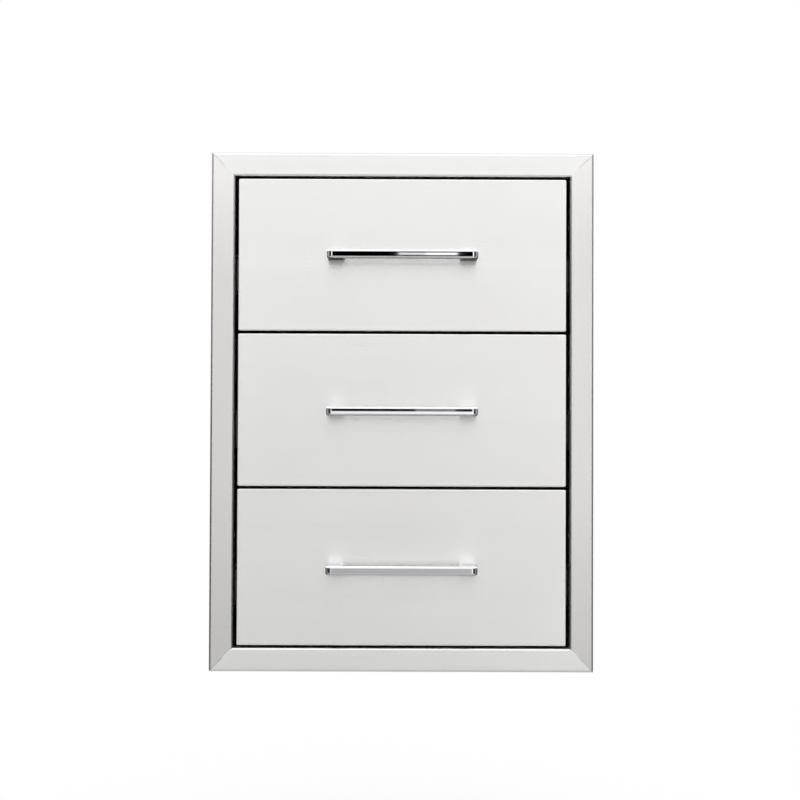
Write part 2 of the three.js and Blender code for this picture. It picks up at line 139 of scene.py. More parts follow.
# Brushing: long thin scratches, and broad passes of the belt. Stretch is the number of changes per metre
# along x, y and z.
def buildGrainGroup():
    inputs = [("Stretch", "Vector", (8, 1500, 1500)), ("Depth", "Float", 0.15), ("Broad", "Float", 0.08)]
    tree, given, result = newGroup("brushedGrain", inputs, [("Scratch", "Float"), ("Pass", "Float")])
    place = addNode(tree, "TexCoord").outputs["Object"]
    fine = addNode(tree, "Mapping", {"Vector": place, "Scale": given.outputs["Stretch"]})
    scratch = addNode(tree, "TexNoise", {
        "Vector": fine.outputs[0], "Scale": 1.0, "Detail": surface["scratchDetail"],
    })
    wide = addNode(tree, "VectorMath", {0: fine.outputs[0], "Scale": surface["beltScale"]}, operation="SCALE")
    belt = addNode(tree, "TexNoise", {
        "Vector": wide.outputs[0], "Scale": 1.0, "Detail": surface["beltDetail"],
    })
    spread = compute(tree, "SUBTRACT", scratch.outputs["Fac"], 0.5)
    sweep = compute(tree, "SUBTRACT", belt.outputs["Fac"], 0.5)
    tree.links.new(compute(tree, "MULTIPLY", spread, given.outputs["Depth"]), result.inputs["Scratch"])
    tree.links.new(compute(tree, "MULTIPLY", sweep, given.outputs["Broad"]), result.inputs["Pass"])
    return tree


# Handling: faint cloudy marks where the sheet was touched and wiped.
def buildMarksGroup():
    inputs = [("Scale", "Float", 9.0), ("Amount", "Float", 0.12)]
    tree, given, result = newGroup("handlingMarks", inputs, [("Marks", "Float")])
    place = addNode(tree, "TexCoord").outputs["Object"]
    cloud = addNode(tree, "TexNoise", {
        "Vector": place, "Scale": given.outputs["Scale"], "Detail": surface["markDetail"],
    })
    centred = compute(tree, "SUBTRACT", cloud.outputs["Fac"], 0.5)
    tree.links.new(compute(tree, "MULTIPLY", centred, given.outputs["Amount"]), result.inputs["Marks"])
    return tree


# Settled dust: it lies on what faces up, in cloudy patches.
def buildDustGroup():
    inputs = [("Scale", "Float", 25.0), ("Amount", "Float", 0.2)]
    tree, given, result = newGroup("settledDust", inputs, [("Dust", "Float")])
    facing = addNode(tree, "SeparateXYZ", {0: addNode(tree, "NewGeometry").outputs["Normal"]})
    upward = compute(tree, "MAXIMUM", facing.outputs["Z"], 0.0)
    upward = compute(tree, "POWER", upward, surface["dustFacing"])
    place = addNode(tree, "TexCoord").outputs["Object"]
    cloud = addNode(tree, "TexNoise", {
        "Vector": place, "Scale": given.outputs["Scale"], "Detail": surface["dustDetail"],
    })
    lying = compute(tree, "MULTIPLY", upward, cloud.outputs["Fac"])
    tree.links.new(compute(tree, "MULTIPLY", lying, given.outputs["Amount"]), result.inputs["Dust"])
    return tree


# Painted shade on the ends of rails and cages: a mask of the faces that look along y, where the colour goes
# nearly black so that the ends stay as dark as the shaded gaps around the fronts. A cut edge itself is only a
# little darker.
def buildPaintedEndShadeGroup():
    tree, given, result = newGroup("paintedEndShade", [("Darkness", "Float", 0.85)], [("EndShade", "Float")])
    facing = addNode(tree, "SeparateXYZ", {0: addNode(tree, "TexCoord").outputs["Normal"]})
    squareness = compute(tree, "ABSOLUTE", facing.outputs["Y"])
    cut = compute(tree, "GREATER_THAN", squareness, surface["paintedShadeFacing"])
    tree.links.new(compute(tree, "MULTIPLY", cut, given.outputs["Darkness"]), result.inputs["EndShade"])
    return tree


# Materials

steels = {
    # tint, roughness, anisotropy, axis that the grain runs along, depth of scratches, broad passes, dust
    "brushedAcross": ((0.852, 0.848, 0.837), 0.24, 0.8, "X", 0.18, 0.14, 0.0),
    # The stiles' copy of the same brushed steel, with its grain upright and a darker tint that is painted
    # shade.
    "brushedUprightShaded": ((0.737, 0.728, 0.71), 0.24, 0.8, "Z", 0.18, 0.14, 0.0),
    "satinAlong": ((0.66, 0.665, 0.67), 0.42, 0.6, "Y", 0.30, 0.45, 0.10),
    "satinAcross": ((0.66, 0.665, 0.67), 0.42, 0.6, "X", 0.30, 0.45, 0.10),
    "zincPlate": ((0.56, 0.57, 0.58), 0.32, 0.3, "Y", 0.30, 0.35, 0.05),
    "cageSteel": ((0.42, 0.43, 0.44), 0.38, 0.2, "Y", 0.30, 0.25, 0.05),
    "screwSteel": ((0.58, 0.59, 0.60), 0.28, 0.0, "Y", 0.20, 0.05, 0.0),
    "polishedChrome": ((0.74, 0.745, 0.76), 0.02, 0.0, "X", 0.02, 0.01, 0.0),
    "ballSteel": ((0.70, 0.71, 0.73), 0.08, 0.0, "X", 0.02, 0.01, 0.0),
    "weldMark": ((0.52, 0.50, 0.49), 0.34, 0.0, "Y", 0.30, 0.10, 0.0),
}
grainStretch = {"X": (7, 1800, 1800), "Y": (1800, 7, 1800), "Z": (1800, 1800, 7)}
dustTint = (0.55, 0.52, 0.47, 1)
# Near-black tint of the painted shade on the ends of rails and cages, and how strongly each steel takes it.
paintedEndShadeTint = (0.03, 0.03, 0.032, 1)
paintedEndShadeStrength = {"zincPlate": 0.92, "cageSteel": 0.85}


def buildSteel(name, groups):
    tint, roughness, anisotropy, axis, depth, broad, dust = steels[name]
    material = bpy.data.materials.new(name)
    material.use_nodes = True
    tree = material.node_tree
    tree.nodes.clear()
    grain = addNode(tree, "Group", node_tree=groups["grain"])
    for label, value in (("Stretch", grainStretch[axis]), ("Depth", depth), ("Broad", broad)):
        grain.inputs[label].default_value = value
    marks = addNode(tree, "Group", node_tree=groups["marks"])
    uneven = compute(tree, "ADD", grain.outputs["Scratch"], grain.outputs["Pass"])
    uneven = compute(tree, "ADD", uneven, marks.outputs["Marks"])
    shade = compute(tree, "ADD", compute(tree, "MULTIPLY", uneven, surface["shade"]), 1.0)
    colour = addNode(tree, "VectorMath", {0: tint, "Scale": shade}, operation="SCALE").outputs[0]
    # Painted shade: the faces that look along y are darkened nearly to black.
    if name in paintedEndShadeStrength:
        edge = addNode(tree, "Group", node_tree=groups["edge"])
        edge.inputs["Darkness"].default_value = paintedEndShadeStrength[name]
        colour = mixColours(tree, edge.outputs["EndShade"], colour, paintedEndShadeTint)
    rough = compute(tree, "ADD", compute(tree, "MULTIPLY", uneven, roughness), roughness, clamp=True)
    bump = addNode(tree, "Bump", {
        "Height": grain.outputs["Scratch"], "Strength": surface["bump"], "Distance": surface["scratchDepth"],
    })
    metal = addNode(tree, "BsdfPrincipled", {
        "Metallic": 1.0, "Anisotropic": anisotropy, "Base Color": colour, "Roughness": rough,
        "Normal": bump.outputs[0],
    })
    if anisotropy:
        tangent = addNode(tree, "Tangent", direction_type="RADIAL", axis=axis)
        tree.links.new(tangent.outputs[0], metal.inputs["Tangent"])
    if dust:
        layer = addNode(tree, "Group", node_tree=groups["dust"])
        layer.inputs["Amount"].default_value = dust
        dusty = mixColours(tree, layer.outputs["Dust"], colour, dustTint)
        bare = compute(tree, "SUBTRACT", 1.0, layer.outputs["Dust"])
        tree.links.new(dusty, metal.inputs["Base Color"])
        tree.links.new(bare, metal.inputs["Metallic"])
    output = addNode(tree, "OutputMaterial")
    tree.links.new(metal.outputs[0], output.inputs["Surface"])
    return material


def buildMaterials():
    groups = {
        "grain": buildGrainGroup(), "marks": buildMarksGroup(), "dust": buildDustGroup(),
        "edge": buildPaintedEndShadeGroup(),
    }
    return {name: buildSteel(name, groups) for name in steels}


# Stage: a white sweep that only shadows darken, and the studio that the metal mirrors.

stage = {
    "floorDrop": 0.26,       # of the floor below the unit
    "floorReach": 8.0,
    "floorGlow": 0.772,
    "floorTint": 0.25,
    "floorLevel": 0.72,      # its own grey, for the light that it throws back
    "roomLevel": 0.9,        # of the room's light on what doesn't mirror
    "keyPower": 4.0,
    "keyPlace": (0.25, -1.5, 2.3),
    "keyAim": (0, 0.1, 0.28),
    "keySize": 1.4,
}
# The backdrop by the sine of the height that it is seen at, from straight down to straight up.
backdropHeights = [
    (-1.0, 0.62), (-0.5, 0.62), (-0.26, 0.56), (-0.14, 0.67), (-0.10, 0.79), (-0.05, 1.01), (-0.02, 1.12),
    (0.027, 1.38), (0.054, 1.57), (0.10, 1.67), (0.17, 1.36), (0.5, 1.16), (0.75, 1.05), (1.0, 1.0),
]
backdropTilt = 0.25          # how much lower the same brightness lies towards the right,
tiltReach = 0.12             # up to this far from the middle
# Brightness from the left to the right, by the sine of the angle from the middle. Dark flags stand on both
# sides and behind, between narrow pale screens, and reach only a little over and under eye level.
backdropSides = [
    (-1.0, 0.40), (-0.985, 0.40), (-0.97, 0.06), (-0.42, 0.06), (-0.33, 1.05), (-0.24, 1.05), (-0.16, 0.97),
    (0.0, 1.0), (0.16, 1.0), (0.28, 1.15), (0.38, 1.15), (0.47, 0.06), (0.97, 0.06), (0.985, 0.40),
    (1.0, 0.40),
]
backdropRear = [
    (-1.0, 0.40), (-0.985, 0.40), (-0.97, 0.12), (-0.35, 0.12), (-0.26, 0.85),
    (0.26, 0.85), (0.35, 0.12), (0.97, 0.12), (0.985, 0.40), (1.0, 0.40),
]
flagHeight = 0.13            # sine of the height up to which the flags stand, and how softly they end
flagEdge = 0.05
rearLevel = 0.85             # over and under the flags behind
# Bars that show as dark lines in the pulls: height, half height, left and right end, in degrees, and depth.
darkBars = [
    (4.36, 1.3, -8.0, 0.12, 1.0), (5.16, 0.65, 0.1, 1.7, 0.95), (3.56, 0.65, 0.1, 1.7, 0.95),
    (4.36, 1.3, 1.67, 8.0, 1.0), (4.36, 0.4, 0.1, 0.85, 0.35),
    (0.75, 0.72, -8.0, 0.62, 1.0), (0.75, 0.72, 0.6, 1.62, 0.8), (0.75, 0.72, 1.6, 8.0, 1.0),
    (-4.24, 1.0, -3.0, 3.0, 0.38),
]
darkBarEdge = 0.0006
# What is mirrored a second time shows the backdrop this many times as bright, by the sine of the height.
echoHeights = [
    (-1.0, 0.03), (-0.06, 0.03), (0.02, 0.5), (0.16, 0.6), (0.28, 1.3), (0.46, 2.0), (0.6, 3.1), (0.86, 3.1),
    (0.94, 0.9), (1.0, 0.9),
]
echoDepth = 2.5              # between the first mirroring and the second, as Light Path counts the rays


def addFloor():
    low = cadBox[0].z - stage["floorDrop"]
    reach = stage["floorReach"]
    corners = [(-reach, -reach, low), (reach, -reach, low), (reach, reach, low), (-reach, reach, low)]
    mesh = bpy.data.meshes.new("floor")
    mesh.from_pydata(corners, [], [(0, 1, 2, 3)])
    floor = bpy.data.objects.new("floor", mesh)
    bpy.context.scene.collection.objects.link(floor)
    floor.visible_glossy = False
    material = bpy.data.materials.new("floorWhite")
    material.use_nodes = True
    tree = material.node_tree
    tree.nodes.clear()
    rays = addNode(tree, "LightPath")
    shown = compute(tree, "MAXIMUM", rays.outputs["Is Camera Ray"], rays.outputs["Is Transmission Ray"])
    glow = addNode(tree, "Emission", {"Color": grey(1.0), "Strength": stage["floorGlow"]})
    matt = addNode(tree, "BsdfDiffuse", {"Color": grey(stage["floorTint"])})
    both = addNode(tree, "AddShader", {0: glow.outputs[0], 1: matt.outputs[0]})
    plain = addNode(tree, "BsdfDiffuse", {"Color": grey(stage["floorLevel"])})
    mixed = addNode(tree, "MixShader", {0: shown, 1: plain.outputs[0], 2: both.outputs[0]})
    output = addNode(tree, "OutputMaterial")
    tree.links.new(mixed.outputs[0], output.inputs["Surface"])
    mesh.materials.append(material)


# Grades a value from -1 to 1 through stops of (place, level). The ramp's own places go from 0 to 1, and its
# levels are kept under 1 and scaled up again behind it.
def gradeSine(tree, value, stops):
    most = max(level for place, level in stops)
    share = addNode(tree, "Math", {0: value, 1: 0.5, 2: 0.5}, operation="MULTIPLY_ADD").outputs[0]
    ramp = addNode(tree, "ValToRGB", {0: share})
    elements = ramp.color_ramp.elements
    while len(elements) < len(stops):
        elements.new(0.5)
    for element, (place, level) in zip(elements, stops):
        element.position = (place + 1) / 2
        element.color = grey(level / most)
    scaled = addNode(tree, "VectorMath", {0: ramp.outputs["Color"], "Scale": most}, operation="SCALE")
    return scaled.outputs[0]


# A soft-edged window of 1 between two limits of a value.
def window(tree, value, low, high, soft):
    rise = compute(tree, "DIVIDE", compute(tree, "SUBTRACT", value, low), soft, clamp=True)
    fall = compute(tree, "DIVIDE", compute(tree, "SUBTRACT", high, value), soft, clamp=True)
    return compute(tree, "MULTIPLY", rise, fall)


def multiplyColours(tree, first, second):
    return addNode(tree, "VectorMath", {0: first, 1: second}, operation="MULTIPLY").outputs[0]


# What the metal mirrors, by the parts of the direction that it looks in: the backdrop by height, times
# the flags and screens at eye level, less the bars.
def addBackdrop(tree, x, y, z):
    aside = addNode(tree, "Clamp", {0: x, 1: -tiltReach, 2: tiltReach}).outputs[0]
    height = compute(tree, "ADD", z, compute(tree, "MULTIPLY", aside, backdropTilt))
    inFront = compute(tree, "LESS_THAN", y, 0.0)
    flags = window(tree, z, -flagHeight - flagEdge, flagHeight + flagEdge, flagEdge)
    near = mixColours(tree, flags, grey(1.0), gradeSine(tree, x, backdropSides))
    rear = mixColours(tree, flags, grey(rearLevel), gradeSine(tree, x, backdropRear))
    sides = mixColours(tree, inFront, rear, near)
    shaded = multiplyColours(tree, gradeSine(tree, height, backdropHeights), sides)
    for middle, half, left, right, depth in darkBars:
        low, high, start, end = np.sin(np.radians([middle - half, middle + half, left, right]))
        over = window(tree, z, low, high, darkBarEdge)
        across = window(tree, x, start, end, darkBarEdge)
        bar = compute(tree, "MULTIPLY", compute(tree, "MULTIPLY", over, across), inFront)
        shaded = mixColours(tree, compute(tree, "MULTIPLY", bar, depth), shaded, grey(0.0))
    return shaded


def addWorld():
    world = bpy.data.worlds.new("studio")
    bpy.context.scene.world = world
    world.use_nodes = True
    tree = world.node_tree
    tree.nodes.clear()
    direction = addNode(tree, "SeparateXYZ", {0: addNode(tree, "TexCoord").outputs["Generated"]}).outputs
    shaded = addBackdrop(tree, direction["X"], direction["Y"], direction["Z"])
    rays = addNode(tree, "LightPath")
    seen = compute(tree, "MAXIMUM", rays.outputs["Is Camera Ray"], rays.outputs["Is Transmission Ray"])
    again = compute(tree, "GREATER_THAN", rays.outputs["Ray Depth"], echoDepth)
    echo = mixColours(tree, again, grey(1.0), gradeSine(tree, direction["Z"], echoHeights))
    shaded = multiplyColours(tree, shaded, echo)
    mirrored = mixColours(tree, rays.outputs["Is Glossy Ray"], grey(stage["roomLevel"]), shaded)
    room = addNode(tree, "Background", {"Color": mirrored, "Strength": 1.0})
    white = addNode(tree, "Background", {"Color": grey(1.0), "Strength": 1.0})
    mixed = addNode(tree, "MixShader", {0: seen, 1: room.outputs[0], 2: white.outputs[0]})
    output = addNode(tree, "OutputWorld")
    tree.links.new(mixed.outputs[0], output.inputs["Surface"])


def addLamps():
    lamp = bpy.data.lights.new("keySoftbox", "AREA")
    lamp.energy = stage["keyPower"]
    lamp.size = stage["keySize"]
    key = bpy.data.objects.new("keySoftbox", lamp)
    bpy.context.scene.collection.objects.link(key)
    place = np.array(stage["keyPlace"])
    aim = np.array(stage["keyAim"]) - place
    tilt = np.arctan2(np.hypot(*aim[:2]), -aim[2])
    heading = np.arctan2(aim[1], aim[0]) - np.pi / 2
    key.matrix_world = (
        Matrix.Translation(place) @ Matrix.Rotation(heading, 4, "Z") @ Matrix.Rotation(tilt, 4, "X")
    )


# Shapes

sharpAngle = 32              # degrees between faces, from which an edge is drawn sharp
poleShare = 0.01             # of a radius, left at the middle of a dome and closed with a flat face


# An arc of a circle, as points: centre + radius (cos a, sin a).
def arc(centre, radius, start, end, steps):
    angles = np.linspace(start, end, steps + 1)
    return np.asarray(centre) + radius * np.stack([np.cos(angles), np.sin(angles)], axis=1)


# A line through corners, each rounded to a radius: the arc starts radius tan(turn / 2) before the corner.
# A point a little way into each straight run keeps the run flat when the shading is smooth.
def bentLine(corners, radius, steps=8, rest=0.0003):
    corners = np.asarray(corners, float)
    points = [corners[:1]]
    for before, corner, after in zip(corners, corners[1:], corners[2:]):
        runIn = (corner - before) / np.linalg.norm(corner - before)
        runOut = (after - corner) / np.linalg.norm(after - corner)
        turn = np.arctan2(runIn[0] * runOut[1] - runIn[1] * runOut[0], runIn @ runOut)
        across = np.array([-runIn[1], runIn[0]]) * radius * np.sign(turn)
        centre = corner - runIn * radius * np.tan(abs(turn) / 2) + across
        start = np.arctan2(-across[1], -across[0])
        bend = arc(centre, radius, start, start + turn, steps)
        points += [bend[:1] - runIn * rest, bend, bend[-1:] + runOut * rest]
    points.append(corners[-1:])
    return np.concatenate(points)


# The section of a sheet: its middle line moved out by half the thickness on both sides along the
# mitred normal, with the cut edges eased. Also gives the quads that close an end of the sheet.
def sheetSection(line, thickness, ease=0.00015):
    runs = np.diff(line, axis=0)
    runs /= np.linalg.norm(runs, axis=1)[:, None]
    line = line.copy()
    ends = line[[0, -1]].copy()
    line[0] += runs[0] * ease
    line[-1] -= runs[-1] * ease
    runIn, runOut = np.vstack([runs[:1], runs]), np.vstack([runs, runs[-1:]])
    along = runIn + runOut
    along /= np.linalg.norm(along, axis=1)[:, None]
    reach = thickness / 2 / (along * runIn).sum(axis=1)
    normals = np.stack([-along[:, 1], along[:, 0]], axis=1)
    left, right = line + normals * reach[:, None], line - normals * reach[:, None]
    edge = normals[[0, -1]] * (thickness / 2 - ease)
    ring = np.vstack([
        left, ends[1] + edge[1], ends[1] - edge[1], right[::-1], ends[0] - edge[0], ends[0] + edge[0],
    ])
    count = len(line)
    lefts = np.arange(count)
    rights = 2 * count + 1 - lefts
    strip = np.stack([lefts[:-1], lefts[1:], rights[1:], rights[:-1]], axis=1)
    tips = [(count - 1, count, count + 1, count + 2), (2 * count + 3, 0, 2 * count + 1, 2 * count + 2)]
    return ring, np.vstack([strip, tips])


# Joins closed loops of points, one after the other, into a wall, and closes both ends with the cap's
# faces. Loops is an array of loops x points x 3.
def loftLoops(loops, cap=None):
    count, size = loops.shape[:2]
    grid = np.arange(count * size).reshape(count, size)
    after = np.roll(grid, -1, axis=1)
    wall = np.stack([grid[:-1], after[:-1], after[1:], grid[1:]], axis=-1).reshape(-1, 4)
    cap = np.arange(size)[None, :] if cap is None else cap
    last = (count - 1) * size
    faces = wall.tolist() + cap[:, ::-1].tolist() + (cap + last).tolist()
    return loops.reshape(-1, 3), faces


# A section carried along y: x = side (wall - first number), and z = level + second number.
def alongDepth(section, start, end, side=-1, wall=0.0, level=0.0):
    ring, cap = section
    across, up = side * (wall - ring[:, 0]), level + ring[:, 1]
    loops = np.stack([np.stack([across, np.full(len(ring), place), up], axis=1) for place in (start, end)])
    return loftLoops(loops, cap)


# A profile of (radius, height) turned round a level direction: u = r cos a and v = r sin a, and the
# height runs along the direction. A cross recess sinks the top where |u| or |v| is under half its width.
def turnedPart(profile, seat, direction, segments, recess=None):
    profile, direction = np.asarray(profile, float), np.asarray(direction, float)
    angles = np.linspace(0, 2 * np.pi, segments, endpoint=False)
    u, v = profile[:, :1] * np.cos(angles), profile[:, :1] * np.sin(angles)
    lift = np.broadcast_to(profile[:, 1:], u.shape).copy()
    if recess:
        narrow, wide = np.minimum(abs(u), abs(v)), np.maximum(abs(u), abs(v))
        sunk = (narrow < recess["width"] / 2) & (wide < recess["reach"])
        lift -= recess["depth"] * sunk * (lift > profile[:, 1].max() / 2)
    upward = np.array([0.0, 0.0, 1.0])
    aside = np.cross(upward, direction)
    loops = np.asarray(seat) + u[..., None] * aside + v[..., None] * upward + lift[..., None] * direction
    return loftLoops(loops)


# The rounded top of a head: height = foot + rise sqrt(1 - (r / radius)^2), from its rim to its middle.
def domedTop(size, foot):
    share = np.cos(np.linspace(0, np.pi / 2, size["rows"] + 1))
    share[-1] = poleShare
    return np.stack([size["radius"] * share, foot + size["rise"] * np.sqrt(1 - share**2)], axis=1)


# Puts several meshes together as one.
def joinShapes(shapes):
    points, faces, start = [], [], 0
    for corners, polygons in shapes:
        points.append(corners)
        faces += [[index + start for index in face] for face in polygons]
        start += len(corners)
    return np.concatenate(points), faces


def addPiece(name, shape, material, body, replaced=()):
    points, faces = shape
    mesh = bpy.data.meshes.new(name)
    mesh.from_pydata(points.tolist(), [], faces)
    outward = bmesh.new()
    outward.from_mesh(mesh)
    bmesh.ops.recalc_face_normals(outward, faces=outward.faces)
    outward.to_mesh(mesh)
    outward.free()
    mesh.shade_smooth()
    mesh.set_sharp_from_angle(angle=np.radians(sharpAngle))
    mesh.materials.append(material)
    piece = bpy.data.objects.new(name, mesh)
    bpy.context.scene.collection.objects.link(piece)
    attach(piece, body)
    if replaced:
        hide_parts(*replaced)
    return piece


# Drills round holes along x.
def drillHoles(piece, centres, radius, reach):
    rod = [(radius, -reach), (radius, reach)]
    rods = [turnedPart(rod, centre, (1, 0, 0), slide["holeSegments"]) for centre in centres]
    points, faces = joinShapes(rods)
    mesh = bpy.data.meshes.new("drill")
    mesh.from_pydata(points.tolist(), [], faces)
    drill = bpy.data.objects.new("drill", mesh)
    bpy.context.scene.collection.objects.link(drill)
    cut = piece.modifiers.new("holes", "BOOLEAN")
    cut.object = drill
    cut.operation, cut.solver = "DIFFERENCE", "EXACT"
    seen = piece.evaluated_get(bpy.context.evaluated_depsgraph_get())
    drilled = bpy.data.meshes.new_from_object(seen)
    piece.modifiers.clear()
    piece.data = drilled
    drilled.set_sharp_from_angle(angle=np.radians(slide["drilledSharpAngle"]))
    bpy.data.objects.remove(drill)


# Face frame

channel = {"sheet": 0.0012, "bend": 0.0013, "face": 0.0266, "lip": 0.014, "mitreGap": 0.0003, "steps": 14}


# A mitred channel: its ends lie at half its length plus the distance outwards, less half the mitre's gap.
def frameChannel(outward, along, centre, edge, halfLength, depth):
    half = channel["sheet"] / 2
    width = channel["face"]
    corners = [(half, 0), (half, half - depth), (width - half, half - depth), (width - half, -half),
               (width - channel["lip"], -half)]
    ring, cap = sheetSection(bentLine(corners, channel["bend"] + half, channel["steps"]), channel["sheet"])
    reach = halfLength + ring[:, :1] - channel["mitreGap"] / np.sqrt(2)
    behind = ring[:, 1:] * np.array([0, 1, 0])
    base = np.asarray(centre) + np.asarray(outward) * (edge + ring[:, :1]) + behind
    loops = np.stack([base - reach * np.asarray(along), base + reach * np.asarray(along)])
    return loftLoops(loops, cap)


def addFrame(materials):
    low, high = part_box("frame_left_stile")
    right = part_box("frame_right_stile")[1].x
    depth = -low.y
    halfWidth = right - channel["face"]
    halfHeight = (high.z - low.z) / 2 - channel["face"]
    centre = (0, 0, (low.z + high.z) / 2)
    members = [
        ("frame_top_rail", (0, 0, 1), (1, 0, 0), halfHeight, halfWidth, "brushedAcross"),
        ("frame_bottom_rail", (0, 0, -1), (1, 0, 0), halfHeight, halfWidth, "brushedAcross"),
        ("frame_left_stile", (-1, 0, 0), (0, 0, 1), halfWidth, halfHeight, "brushedUprightShaded"),
        ("frame_right_stile", (1, 0, 0), (0, 0, 1), halfWidth, halfHeight, "brushedUprightShaded"),
    ]
    for node, outward, along, edge, length, finish in members:
        shape = frameChannel(outward, along, centre, edge, length, depth)
        addPiece(node + "_sheet", shape, materials[finish], "housing", [node])
    print("frame made")


# Drawer fronts

front = {
    "sheet": 0.001, "edge": 0.0012, "corner": 0.0008, "rest": 0.0006, "ease": 0.0001,
    "leastBend": 0.0003, "leastCorner": 0.0002, "steps": 8, "cornerSteps": 4,
}


# A rounded rectangle: its corners are arcs about centres set in by the radius.
def roundedLoop(halfWidth, halfHeight, radius, steps):
    corners = [(1, -1, -90), (1, 1, 0), (-1, 1, 90), (-1, -1, 180)]
    return np.concatenate([
        arc((x * (halfWidth - radius), z * (halfHeight - radius)), radius,
            np.radians(start), np.radians(start + 90), steps)
        for x, z, start in corners
    ])


# A folded pan: loops of its outline, each set in by some inset and placed at some depth behind the face.
# The folded edge follows inset = edge (1 - sin a) and depth = edge (1 - cos a).
def foldedPan(box, sheet, edge, corner, facing=1):
    low, high = box
    middle = (low + high) / 2
    width, height, depth = (high.x - low.x) / 2, (high.z - low.z) / 2, high.y - low.y
    turn = np.linspace(0, np.pi / 2, front["steps"] + 1)
    inner = max(edge - sheet, front["leastBend"])
    outside = edge * np.stack([1 - np.sin(turn), 1 - np.cos(turn)], axis=1)
    inside = inner * np.stack([1 - np.sin(turn), 1 - np.cos(turn)], axis=1) + sheet
    rest, ease = front["rest"], front["ease"]
    profile = np.vstack([
        (edge + rest, 0), outside, (0, depth - ease), (ease, depth), (sheet, depth),
        inside[::-1], (sheet + inner + rest, sheet),
    ])
    face = low.y if facing > 0 else high.y
    loops = []
    for inset, behind in profile:
        radius = max(edge + corner - inset, front["leastCorner"])
        loop = roundedLoop(width - inset, height - inset, radius, front["cornerSteps"])
        place = np.full(len(loop), face + facing * behind)
        loops.append(np.stack([middle.x + loop[:, 0], place, middle.z + loop[:, 1]], axis=1))
    return loftLoops(np.stack(loops))


def addFronts(materials):
    for name in drawerNames:
        body = f"{name}_drawer"
        node, back = f"{name}_drawer_front", f"{name}_drawer_liner"
        shape = foldedPan(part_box(node), front["sheet"], front["edge"], front["corner"])
        addPiece(node + "_panel", shape, materials["brushedAcross"], body, [node])
        shape = foldedPan(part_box(back), front["sheet"], front["edge"], front["corner"], facing=-1)
        addPiece(back + "_pan", shape, materials["satinAcross"], body, [back])
    print("fronts made")


# Pulls

pull = {
    "corner": 0.0065, "barDepth": 0.0095, "legWidth": 0.02, "legTaper": 0.0022, "fillet": 0.003,
    "edge": 0.0020, "rest": 0.0002, "crown": 0.000004, "steps": 12, "cornerSteps": 16, "crownSteps": 6,
}


# An arc with a point a little way along the straight run at each end.
def restedArc(centre, radius, start, end, steps, rest):
    bend = arc(centre, radius, start, end, steps)
    turn = np.sign(end - start) * rest
    before = bend[0] - turn * np.array([-np.sin(start), np.cos(start)])
    after = bend[-1] + turn * np.array([-np.sin(end), np.cos(end)])
    return np.vstack([before, bend, after])


# The outline of a pull seen from above, set in by some inset: outer corners and inner fillets stay
# concentric, and the legs' ends stay on the drawer front.
def pullLoop(inset, end, reach):
    quarter = np.pi / 2
    legInside = end - pull["legWidth"] + inset
    barInside = legInside + pull["legTaper"]
    filletCentre = barInside - inset - pull["fillet"]
    filletDepth = pull["barDepth"] - reach + pull["fillet"]
    corner, steps, rest = pull["corner"], pull["cornerSteps"], pull["rest"]
    cornerCentre, filletRadius = (end - corner, corner - reach), pull["fillet"] + inset
    rightCorner = restedArc(cornerCentre, corner - inset, 0, -quarter, steps, rest)
    rightFillet = restedArc((filletCentre, filletDepth), filletRadius, -quarter, 0, steps, rest)
    return np.vstack([
        (end - inset, 0), rightCorner, rightCorner[::-1] * (-1, 1), (inset - end, 0), (-legInside, 0),
        rightFillet[::-1] * (-1, 1), rightFillet, (legInside, 0),
    ])


# From the middle up: the face is crowned by crown (z / flat)^2, and the rounded long edges follow
# inset = edge (1 - cos a) and height = half - edge (1 - sin a).
def pullShape(low, high):
    end = (high.x - low.x) / 2
    reach = high.y - low.y
    half = (high.z - low.z) / 2
    edge, crown = pull["edge"], pull["crown"]
    share = np.append(np.linspace(0, 1, pull["crownSteps"])[:-1], 1 - pull["rest"] / (half - edge))
    turn = np.linspace(0, np.pi / 2, pull["steps"] + 1)
    insets = [crown * share**2, crown + (edge - crown) * (1 - np.cos(turn)), [edge + pull["rest"]]]
    insets = np.concatenate(insets)
    heights = np.concatenate([(half - edge) * share, half - edge * (1 - np.sin(turn)), [half]])
    insets = np.append(insets[:0:-1], insets)
    heights = np.append(heights[:0:-1], -heights)
    centre = (low + high) / 2
    loops = []
    for inset, height in zip(insets, heights):
        loop = pullLoop(inset, end, reach)
        level = np.full(len(loop), centre.z + height)
        loops.append(np.stack([centre.x + loop[:, 0], high.y + loop[:, 1], level], axis=1))
    return loftLoops(np.stack(loops))


def addPulls(materials):
    for name in drawerNames:
        body, node = f"{name}_drawer", f"{name}_drawer_handle"
        shape = pullShape(*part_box(node))
        addPiece(node + "_bar", shape, materials["polishedChrome"], body, [node])
    print("pulls made")


# Tubs

tub = {"sheet": 0.001, "bend": 0.0025, "hem": 0.008, "hemDrop": 0.005, "hemBend": 0.0006, "steps": 8}


